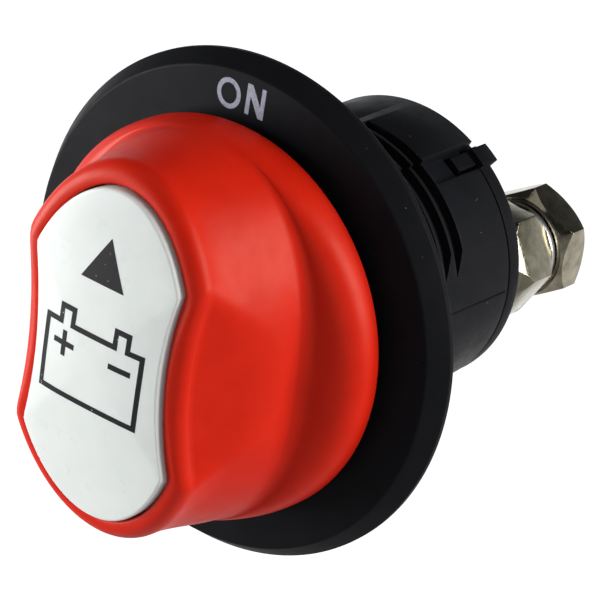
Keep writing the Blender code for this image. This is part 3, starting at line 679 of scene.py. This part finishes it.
def build_insert(material):
    """The domed cap: a flat back, a rounded edge and rings that shrink towards the crown."""
    rim = INSERT_EDGE - INSERT_ROUNDING
    rings = [[Vector((0.0, POCKET_FLOOR, 0.0))], outline_ring(insert_radius, POCKET_FLOOR)]
    for degrees in range(0, 91, 15):
        t = math.radians(degrees)
        inset = INSERT_ROUNDING * (1.0 - math.cos(t))
        y = INSERT_EDGE - INSERT_ROUNDING * math.sin(t)
        rings.append(outline_ring(lambda a, i=inset: insert_radius(a) - i, y, FACE_CURVE))
    steps = 14
    for i in range(1, steps):
        share = 1.0 - i / steps
        y = rim + (INSERT_CROWN - rim) * (1.0 - share * share)

        def radius_at(angle, scale=share):
            return (insert_radius(angle) - INSERT_ROUNDING) * scale

        rings.append(outline_ring(radius_at, y, FACE_CURVE))
    rings.append([Vector((0.0, INSERT_CROWN, 0.0))])
    insert = dress(loft("insert_skin", rings), material, TURNING, "white_plastic", 60.0)
    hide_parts("knob_insert")


# ---------------------------------------------------------------- prints


def flat_print(name, polygon, depth_at, cell):
    """A thin printed shape, cut into small cells so that it follows the surface below."""
    bm = bmesh.new()
    bm.faces.new([bm.verts.new((x, 0.0, z)) for x, z in polygon])
    xs = [x for x, z in polygon]
    zs = [z for x, z in polygon]
    for values, normal in ((xs, Vector((1.0, 0.0, 0.0))), (zs, Vector((0.0, 0.0, 1.0)))):
        at = min(values) + cell
        while at < max(values):
            geometry = bm.verts[:] + bm.edges[:] + bm.faces[:]
            bmesh.ops.bisect_plane(bm, geom=geometry, plane_co=normal * at, plane_no=normal, dist=1e-7)
            at += cell
    for v in bm.verts:
        v.co.y = depth_at(v.co.x, v.co.z) - PRINT_LIFT
    bmesh.ops.triangulate(bm, faces=bm.faces)
    for face in bm.faces:
        if face.normal.y > 0.0:
            face.normal_flip()
    return finished_object(name, bm)


def stroke(start, end, width):
    """A straight bar with square ends, as a quadrilateral."""
    a = Vector(start)
    b = Vector(end)
    along = (b - a).normalized() * width / 2.0
    side = Vector((-along.y, along.x))
    corners = (a - along + side, b + along + side, b + along - side, a - along - side)
    return [tuple(corner) for corner in corners]


def mitred_band(corners, width):
    """The quadrilaterals of a closed line with square corners, joined along mitres."""
    points = [Vector(c) for c in corners]
    count = len(points)
    rims = []
    for i, point in enumerate(points):
        before = (point - points[i - 1]).normalized()
        after = (points[(i + 1) % count] - point).normalized()
        offset = Vector((-before.y - after.y, before.x + after.x)) * width / 2.0
        rims.append((tuple(point + offset), tuple(point - offset)))
    quads = []
    for i in range(count):
        first, second = rims[i], rims[(i + 1) % count]
        quads.append([first[0], second[0], second[1], first[1]])
    return quads


def build_battery_sign(material):
    """An arrow head above the outline of a battery, printed a few degrees askew."""
    corners = [(-SIGN_HALF_WIDTH, SIGN_BOTTOM), (-SIGN_HALF_WIDTH, SIGN_SHOULDER)]
    for start, end in SIGN_POSTS:
        corners += [(start, SIGN_SHOULDER), (start, SIGN_TOP), (end, SIGN_TOP), (end, SIGN_SHOULDER)]
    corners += [(SIGN_HALF_WIDTH, SIGN_SHOULDER), (SIGN_HALF_WIDTH, SIGN_BOTTOM)]
    plus = Vector((-SIGN_MARK[0], SIGN_MARK[1]))
    minus = Vector(SIGN_MARK)
    across = Vector((SIGN_MARK_HALF, 0.0))
    upper = Vector((0.0, SIGN_MARK_HALF))
    lower = Vector((0.0, SIGN_LINE))
    polygons = mitred_band(corners, SIGN_LINE) + [
        stroke(plus - across, plus + across, SIGN_LINE),
        stroke(plus + lower, plus + upper, SIGN_LINE),
        stroke(plus - upper, plus - lower, SIGN_LINE),
        stroke(minus - across, minus + across, SIGN_LINE),
        SIGN_ARROW,
    ]
    c = math.cos(math.radians(SIGN_TILT))
    s = math.sin(math.radians(SIGN_TILT))
    for i, polygon in enumerate(polygons):
        tilted = [(x * c + z * s + SIGN_SHIFT, z * c - x * s + SIGN_SHIFT) for x, z in polygon]
        piece = flat_print(f"insert_print_{i:02d}", tilted, insert_surface, 1.0 * MM)
        dress(piece, material, TURNING, "black_plastic")


def letter_polygons(letter, width, height, line):
    """Outlines of a plain capital O, N or F in a box that is centred on the origin."""
    x = width / 2.0
    z = height / 2.0
    if letter == "O":
        count = 40
        ring = []
        for i in range(count):
            quad = []
            for k, inset in ((0, 0.0), (1, 0.0), (1, line), (0, line)):
                a = math.tau * (i + k) / count
                quad.append(((x - inset) * math.sin(a), (z - inset) * math.cos(a)))
            ring.append(quad)
        return ring
    if letter == "N":
        slant = 1.25 * line
        foot = z - slant * (2.0 * z) / (2.0 * x - slant)
        half = [(-x, -z), (-x, z), (slant - x, z), (x - line, -foot * 0.95), (x - line, z)]
        return [half + [(-a, -b) for a, b in half]]
    arm_top = 0.1 * height + line / 2.0
    arm_end = 0.7 * x
    stem = line - x
    top_bar = [(-x, -z), (-x, z), (x, z), (x, z - line), (stem, z - line)]
    arm = [(stem, arm_top), (arm_end, arm_top), (arm_end, arm_top - line), (stem, arm_top - line)]
    return [top_bar + arm + [(stem, -z)]]


def build_label(name, letters, centre_angle, material):
    """Letters that stand on the flange's face, one after another along an arc."""
    total = sum(LETTER_WIDTHS[c] for c in letters) + LABEL_SPACE * (len(letters) - 1)
    at = -total / 2.0
    for index, letter in enumerate(letters):
        width = LETTER_WIDTHS[letter]
        angle = centre_angle + math.degrees((at + width / 2.0) / LABEL_RADIUS)
        at += width + LABEL_SPACE
        a = math.radians(angle)
        right = Vector((math.cos(a), -math.sin(a)))
        up = Vector((math.sin(a), math.cos(a)))
        polygons = letter_polygons(letter, width, LABEL_HEIGHT, LABEL_STROKE)
        for part, polygon in enumerate(polygons):
            placed = [tuple(right * x + up * (z + LABEL_RADIUS)) for x, z in polygon]
            piece = flat_print(f"{name}_{index}_{part:02d}", placed, lambda x, z: FLANGE_FACE, 5.0 * MM)
            dress(piece, material, BODY, "white_plastic")


# ---------------------------------------------------------------- housing


def build_housing(material):
    """The flange, barrel and front wall in one turned body, then the rib and all its cuts."""
    profile = [
        (BEARING_BORE, BEARING_FRONT, 0.3 * MM),
        (BEARING_BOSS, BEARING_FRONT, 0.5 * MM),
        (BEARING_BOSS, FLANGE_FACE, 0.3 * MM),
        (FLANGE_FACE_RADIUS, FLANGE_FACE, 0.5 * MM),
        (FLANGE_RADIUS, -FLANGE_EDGE, 0.25 * MM),
        (FLANGE_RADIUS, 0.0, 0.2 * MM),
        (BARREL_RADIUS, 0.0, 0.2 * MM),
        (BARREL_RADIUS, SLOT_LAST_BACK + 0.6 * MM, 0.0),
        (BARREL_RADIUS, BARREL_LENGTH, 0.2 * MM),
        (BARREL_BORE, BARREL_LENGTH, 0.1 * MM),
        (BARREL_BORE, FRONT_WALL_BACK, 0.1 * MM),
        (BEARING_BORE, FRONT_WALL_BACK, 0.1 * MM),
    ]
    housing = turned("housing_skin", rounded_profile(profile))
    rib = ring_sector(
        "rib", BARREL_RADIUS - RIB_ROOT, RIB_RADIUS, -RIB_HALF_ANGLE, RIB_HALF_ANGLE, -1.0 * MM, RIB_TAIL
    )
    join(housing, rib)
    cut_thread_slots(housing)
    cut_ear_channels(housing)
    cut_seams(housing)
    soften_edges(housing, 0.12 * MM)
    dress(housing, material, BODY, "black_plastic", 35.0)
    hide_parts("housing")


def cut_thread_slots(housing):
    """Deep grooves that end in a wedge, and are shallow beside the middle of the rib."""
    outside = RIB_RADIUS + 2.0 * MM
    narrow = 0.1 * MM
    for side in (1.0, -1.0):
        start, deep, straight, end = (side * angle for angle in SLOT_ANGLES)
        for i in range(SLOT_COUNT):
            back = SLOT_LAST_BACK - i * SLOT_PITCH
            front = back - SLOT_WIDTH
            cut(housing, ring_sector("shallow", SLOT_FLOOR_AT_GUIDE, outside, start, deep, front, back))
            slot = ring_sector("slot", SLOT_FLOOR, outside, 0.99 * deep, straight, front, back)
            wedge = ring_sector("wedge", SLOT_FLOOR, outside, straight, end, front, back, front + narrow)
            join(slot, wedge)
            cut(housing, slot)


def cut_ear_channels(housing):
    """Room for the end plate's ears, with a window in each channel through the barrel's wall."""
    outside = RIB_RADIUS + 2.0 * MM
    beyond = BARREL_LENGTH + 5.0 * MM
    start, end = CHANNEL
    for side in (1.0, -1.0):
        first = side * start
        last = side * end
        ledge = side * WINDOW_LEDGE
        inside = BARREL_BORE - 0.5 * MM
        cut(housing, ring_sector("channel", CHANNEL_FLOOR, outside, first, last, CHANNEL_FRONT, beyond))
        first += ledge
        last -= ledge
        cut(housing, ring_sector("window", inside, outside, first, last, WINDOW_FRONT, beyond))


def cut_seams(housing):
    """The moulding's parting lines, one along each side of the barrel."""
    floor = BARREL_RADIUS - SEAM_DEPTH
    outside = BARREL_RADIUS + 1.0 * MM
    for angle in (SEAM_ANGLE, -SEAM_ANGLE):
        start = angle - SEAM_HALF_ANGLE
        end = angle + SEAM_HALF_ANGLE
        cut(housing, ring_sector("seam", floor, outside, start, end, *SEAM_SPAN))


def build_end_plate(material):
    """The plate and its spigot, notched for the rib, with two ears, their arms and the stud holes."""
    profile = [
        (0.0, SPIGOT_FRONT, 0.0),
        (SPIGOT_RADIUS, SPIGOT_FRONT, 0.5 * MM),
        (SPIGOT_RADIUS, PLATE_FRONT, 0.1 * MM),
        (PLATE_RADIUS, PLATE_FRONT, 0.2 * MM),
        (PLATE_RADIUS, PLATE_BACK, 0.5 * MM),
        (0.0, PLATE_BACK, 0.0),
    ]
    plate = turned("end_plate_skin", rounded_profile(profile, closed=False))
    half = RIB_HALF_ANGLE + 1.0
    inner = BARREL_RADIUS - RIB_ROOT - 0.3 * MM
    cut(plate, ring_sector("rib_room", inner, 25.0 * MM, -half, half, PLATE_FRONT - 1.0 * MM, 40.0 * MM))
    ear_front = PLATE_FRONT + 0.1 * MM
    arm_radii = (BARREL_BORE + 0.3 * MM, CHANNEL_FLOOR + 0.7 * MM)
    arm_back = PLATE_FRONT + 0.8 * MM
    for side in (1.0, -1.0):
        start, end = (side * angle for angle in EAR_ANGLES)
        root = SPIGOT_RADIUS - 1.0 * MM
        join(plate, ring_sector("ear", root, EAR_RADIUS, start, end, ear_front, EAR_BACK))
        start, end = side * (CHANNEL[0] + 2.0), side * (CHANNEL[1] - 2.0)
        join(plate, ring_sector("arm", *arm_radii, start, end, ARM_FRONT, arm_back))
    soften_edges(plate, 0.15 * MM)
    for side in (1.0, -1.0):
        front, back = 20.0 * MM, 40.0 * MM
        outline = [(0.0, front), (STUD_HOLE_RADIUS, front), (STUD_HOLE_RADIUS, back), (0.0, back)]
        hole = turned("hole", outline, 64)
        hole.location.x = side * STUD_OFFSET
        cut(plate, hole)
    dress(plate, material, BODY, "black_plastic", 35.0)
    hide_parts("end_plate")


# ---------------------------------------------------------------- terminals


def place_pair(build, name, node):
    """Build a piece at the right stud and its twin, turned half round, at the left one."""
    for side, turn, word in ((1.0, 0.0, "right"), (-1.0, math.pi, "left")):
        piece = build(f"{name}_{word}")
        place = Matrix.Translation((side * STUD_OFFSET, 0.0, 0.0)) @ Matrix.Rotation(turn, 4, "Y")
        piece.data.transform(place)
        yield piece, f"{node}_{word}"


def hexagon_ring(flat, turn, y):
    """Six corners of a hexagon whose sides are flat away from the axis."""
    corner = flat / math.cos(math.radians(30.0))
    return [clock_point(corner, 90.0 - turn + 60.0 * i, y) for i in range(6)]


def nut_mesh(name, span, chamfers, turn, bevel):
    """A hexagon nut with bevelled sides, whose corners are turned down to a cone on both faces."""
    front, back = span
    length, inset = bevel
    spare = 0.2 * MM
    rings = [
        [Vector((0.0, front - spare, 0.0))],
        hexagon_ring(NUT_FLAT - inset, turn, front - spare),
        hexagon_ring(NUT_FLAT - inset, turn, front),
        hexagon_ring(NUT_FLAT, turn, front + length),
        hexagon_ring(NUT_FLAT, turn, back - length),
        hexagon_ring(NUT_FLAT - inset, turn, back),
        hexagon_ring(NUT_FLAT - inset, turn, back + spare),
        [Vector((0.0, back + spare, 0.0))],
    ]
    nut = loft(name, rings)
    face = NUT_FLAT * NUT_FACE_SHARE
    corner = NUT_FLAT / math.cos(math.radians(30.0))
    wide = corner + 0.2 * MM
    beyond = (wide - face) / (corner - face)
    profile = [
        (0.0, front),
        (face, front),
        (wide, front + chamfers[0] * beyond),
        (wide, back - chamfers[1] * beyond),
        (face, back),
        (0.0, back),
    ]
    boolean(nut, turned("dome", profile, 144), "INTERSECT")
    past = 1.0 * MM
    sink = NUT_BORE_RIM - NUT_BORE
    hole = [
        (0.0, front - past),
        (NUT_BORE_RIM + past, front - past),
        (NUT_BORE, front + sink),
        (NUT_BORE, back - sink),
        (NUT_BORE_RIM + past, back + past),
        (0.0, back + past),
    ]
    cut(nut, turned("bore", hole, 72))
    soften_edges(nut, 0.16 * MM, 3, 25.0)
    return nut


def washer_mesh(name):
    """A split spring washer with bevelled edges."""
    front, back = LOCK_WASHER
    inner, outer = LOCK_WASHER_BORE, LOCK_WASHER_RADIUS
    edge = LOCK_WASHER_EDGE
    corners = ((inner, front), (outer, front), (outer, back), (inner, back))
    steps = 116
    sections = []
    for i in range(steps + 1):
        angle = LOCK_WASHER_START + LOCK_WASHER_SWEEP * i / steps
        section = []
        for k, (r, y) in enumerate(corners):
            r_in = r + (edge if r == inner else -edge)
            y_in = y + (edge if y == front else -edge)
            pair = ((r, y_in), (r_in, y)) if k % 2 == 0 else ((r_in, y), (r, y_in))
            section += [clock_point(q, angle, p) for q, p in pair]
        sections.append(section)
    return sweep_sections(name, sections)


def stud_mesh(name):
    """The stud's threaded shank, from inside the end plate to its chamfered end."""
    start = SPIGOT_FRONT - 0.3 * MM
    per_turn = 10
    step = THREAD_PITCH / per_turn
    count = 48
    rings = [[Vector((0.0, start, 0.0))]]
    y = start
    while y < STUD_END - 0.5 * step:
        ring = []
        for a in clock_angles(count):
            phase = (y / THREAD_PITCH + a / 360.0) % 1.0
            groove = abs(2.0 * phase - 1.0)
            depth = THREAD_DEPTH * min(max(1.3 * groove - 0.2, 0.0), 1.0)
            chamfer = max(0.0, y - (STUD_END - STUD_CHAMFER))
            ring.append(clock_point(min(STUD_RADIUS - depth, STUD_RADIUS - chamfer), a, y))
        rings.append(ring)
        y += step
    rings.append(circle(STUD_RADIUS - 1.0 * MM, STUD_END, count))
    rings.append([Vector((0.0, STUD_END, 0.0))])
    return loft(name, rings)


def clamp_nut_mesh(name):
    return nut_mesh(name, CLAMP_NUT, CLAMP_NUT_CHAMFERS, CLAMP_NUT_TURN, CLAMP_NUT_BEVEL)


def terminal_nut_mesh(name):
    return nut_mesh(name, TERMINAL_NUT, TERMINAL_NUT_CHAMFERS, TERMINAL_NUT_TURN, TERMINAL_NUT_BEVEL)


def build_terminals(nickel, steel, plated):
    for build_piece, name, node, material, slot, sharp_angle in (
        (stud_mesh, "stud_thread", "stud", plated, "brass", 60.0),
        (clamp_nut_mesh, "clamp_nut_skin", "clamp_nut", nickel, "nickel_plate", 30.0),
        (terminal_nut_mesh, "terminal_nut_skin", "terminal_nut", nickel, "nickel_plate", 30.0),
        (washer_mesh, "lock_washer_skin", "lock_washer", steel, "spring_steel", 45.0),
    ):
        for piece, replaced in place_pair(build_piece, name, node):
            dress(piece, material, BODY, slot, sharp_angle)
            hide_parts(replaced)


# ---------------------------------------------------------------- CAD pieces that stay


def paint_cad_nodes(material, *names):
    for name in names:
        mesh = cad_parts[name].data
        mesh.materials.clear()
        mesh.materials.append(material)


# ---------------------------------------------------------------- stage


def rolled(vector, roll):
    """Turn a vector round the switch axis, anticlockwise as seen from the knob."""
    c = math.cos(roll)
    s = math.sin(roll)
    return Vector((vector.x * c - vector.z * s, vector.y, vector.x * s + vector.z * c))


def build_camera():
    azimuth = math.radians(CAMERA_AZIMUTH)
    elevation = math.radians(CAMERA_ELEVATION)
    roll = math.radians(CAMERA_ROLL)
    right = Vector((math.cos(azimuth), math.sin(azimuth), 0.0))
    level = Vector((-math.sin(azimuth), math.cos(azimuth), 0.0))
    ahead = level * math.cos(elevation) - Vector((0.0, 0.0, math.sin(elevation)))
    up = right.cross(ahead)
    place = (right * CAMERA_RIGHT + up * CAMERA_UP - ahead * CAMERA_DISTANCE) * FLANGE_RADIUS
    place = rolled(place, roll) + Vector((0.0, FLANGE_FACE, 0.0))
    camera = bpy.data.cameras.new("camera")
    camera.sensor_width = 36.0
    camera.lens = CAMERA_LENS
    camera.clip_start = 0.01
    camera.clip_end = 20.0
    obj = bpy.data.objects.new("camera", camera)
    basis = Matrix((rolled(right, roll), rolled(up, roll), -rolled(ahead, roll)))
    obj.matrix_world = Matrix.Translation(place) @ basis.transposed().to_4x4()
    bpy.context.collection.objects.link(obj)
    bpy.context.scene.camera = obj


def area_light(name, place, size, power):
    """A rectangular lamp that faces the origin."""
    light = bpy.data.lights.new(name, "AREA")
    light.shape = "RECTANGLE"
    light.size, light.size_y = size
    light.energy = power
    obj = bpy.data.objects.new(name, light)
    obj.location = place
    obj.rotation_euler = (-obj.location).to_track_quat("-Z", "Y").to_euler()
    bpy.context.collection.objects.link(obj)


def smooth_step(tree, value, low, high, at_low=0.0, at_high=1.0):
    """Ease from one value to another while an input runs from low to high."""
    node = tree.nodes.new("ShaderNodeMapRange")
    node.interpolation_type = "SMOOTHSTEP"
    values = (("From Min", low), ("From Max", high), ("To Min", at_low), ("To Max", at_high))
    for socket, number in values:
        node.inputs[socket].default_value = number
    tree.links.new(value, node.inputs["Value"])
    return node.outputs["Result"]


def build_floor():
    """A plain pale floor some way below the switch, which a panel holds up in use."""
    bm = bmesh.new()
    bmesh.ops.create_grid(bm, x_segments=2, y_segments=2, size=FLOOR_HALF_SIZE)
    for v in bm.verts:
        v.co.z = FLOOR_HEIGHT
    floor = object_from_bmesh("floor", bm)
    n = Nodes("floor_paint")
    axes = n.tree.nodes.new("ShaderNodeSeparateXYZ")
    n.link(n.coords, axes.inputs["Vector"])
    depth = smooth_step(n.tree, axes.outputs["Y"], *FLOOR_SHADE)
    near, far = ((tone, tone, tone) for tone in FLOOR_TONES)
    paint = n.ramp(depth, ((0.0, near), (1.0, far)))
    n.link(paint, n.shader.inputs["Base Color"])
    n.link(paint, n.shader.inputs["Emission Color"])
    n.set(Roughness=0.9, Specular_IOR_Level=0.0, Emission_Strength=FLOOR_GLOW)
    floor.data.materials.append(n.material)


def build_sky():
    """A pale studio that is brightest at the horizon behind the switch and dark overhead."""
    world = bpy.data.worlds.new("studio")
    world.use_nodes = True
    tree = world.node_tree
    background = tree.nodes["Background"]
    direction = tree.nodes.new("ShaderNodeTexCoord").outputs["Generated"]
    axes = tree.nodes.new("ShaderNodeSeparateXYZ")
    tree.links.new(direction, axes.inputs["Vector"])
    product = tree.nodes.new("ShaderNodeMath")
    product.operation = "MULTIPLY"
    for i, (axis, *fade) in enumerate((SKY_FADE_UPWARDS, SKY_FADE_FORWARDS)):
        tree.links.new(smooth_step(tree, axes.outputs[axis], *fade), product.inputs[i])
    tree.links.new(product.outputs["Value"], background.inputs["Strength"])
    background.inputs["Color"].default_value = (0.95, 0.97, 1.0, 1.0)
    bpy.context.scene.world = world


def build_lights():
    area_light("overhead", (-0.1, -0.25, 0.8), (0.5, 0.5), 0.5)
    area_light("right_softbox", (0.57, 0.2, 0.27), (0.3, 0.5), 6.0)
    area_light("left_softbox", (-0.6, -0.34, -0.02), (0.4, 0.5), 8.6)
    area_light("front_fill", (0.4, -0.55, 0.1), (0.5, 0.5), 0.5)


# ---------------------------------------------------------------- assembly


def build():
    red = plastic_material(
        "red_moulding",
        dark=(0.49, 0.0105, 0.0025),
        light=(0.55, 0.0135, 0.004),
        rough=(0.36, 0.46),
        grain=0.004 * MM,
        shine=0.125,
        tint=(1.0, 0.95, 0.72),
    )
    white = plastic_material(
        "white_moulding",
        dark=(0.62, 0.65, 0.63),
        light=(0.67, 0.7, 0.68),
        rough=(0.26, 0.36),
        grain=0.003 * MM,
        shine=0.25,
        subsurface=0.05,
    )
    nylon = plastic_material(
        "nylon_moulding",
        dark=(0.55, 0.52, 0.43),
        light=(0.62, 0.59, 0.5),
        rough=(0.4, 0.5),
        grain=0.004 * MM,
    )
    rubber = plastic_material(
        "rubber_ring",
        dark=(0.012, 0.012, 0.012),
        light=(0.02, 0.02, 0.02),
        rough=(0.7, 0.85),
        grain=0.01 * MM,
    )
    black = black_material()
    ink = ink_material("sign_ink", (0.012, 0.012, 0.014), (0.8, 0.82, 0.8), 0.45 * MM, 0.71)
    label = ink_material("label_ink", (0.3, 0.32, 0.39), (0.05, 0.05, 0.055), 0.3 * MM, 0.62)
    nickel = metal_material(
        "nickel_plating",
        dark=(0.17, 0.155, 0.105),
        light=(0.36, 0.33, 0.25),
        rough=(0.07, 0.2),
        pit=0.008 * MM,
    )
    plated = metal_material(
        "stud_plating",
        dark=(0.5, 0.46, 0.36),
        light=(0.62, 0.58, 0.48),
        rough=(0.2, 0.34),
        pit=0.003 * MM,
    )
    copper = metal_material(
        "copper_bar",
        dark=(0.58, 0.27, 0.17),
        light=(0.72, 0.36, 0.24),
        rough=(0.24, 0.4),
        pit=0.003 * MM,
    )
    steel = metal_material(
        "spring_steel_grain",
        dark=(0.42, 0.42, 0.42),
        light=(0.52, 0.52, 0.52),
        rough=(0.28, 0.42),
        pit=0.003 * MM,
        stretch=(1.0, 8.0, 1.0),
    )

    build_knob(red)
    build_insert(white)
    build_battery_sign(ink)
    build_housing(black)
    build_label("on_label", "ON", -1.5, label)
    build_label("off_label", "OFF", -90.0, label)
    build_end_plate(black)
    build_terminals(nickel, steel, plated)
    paint_cad_nodes(nylon, "spindle", "contact_carrier", "thrust_washer")
    paint_cad_nodes(copper, "contact_bridge")
    paint_cad_nodes(rubber, "shaft_seal")
    paint_cad_nodes(steel, "knob_screw", "screw_washer", "bridge_clip")
    paint_cad_nodes(steel, "contact_spring", "return_spring_top", "return_spring_bottom")
    build_camera()
    build_floor()
    build_sky()
    build_lights()
    bpy.context.scene.view_settings.view_transform = "Standard"


build()
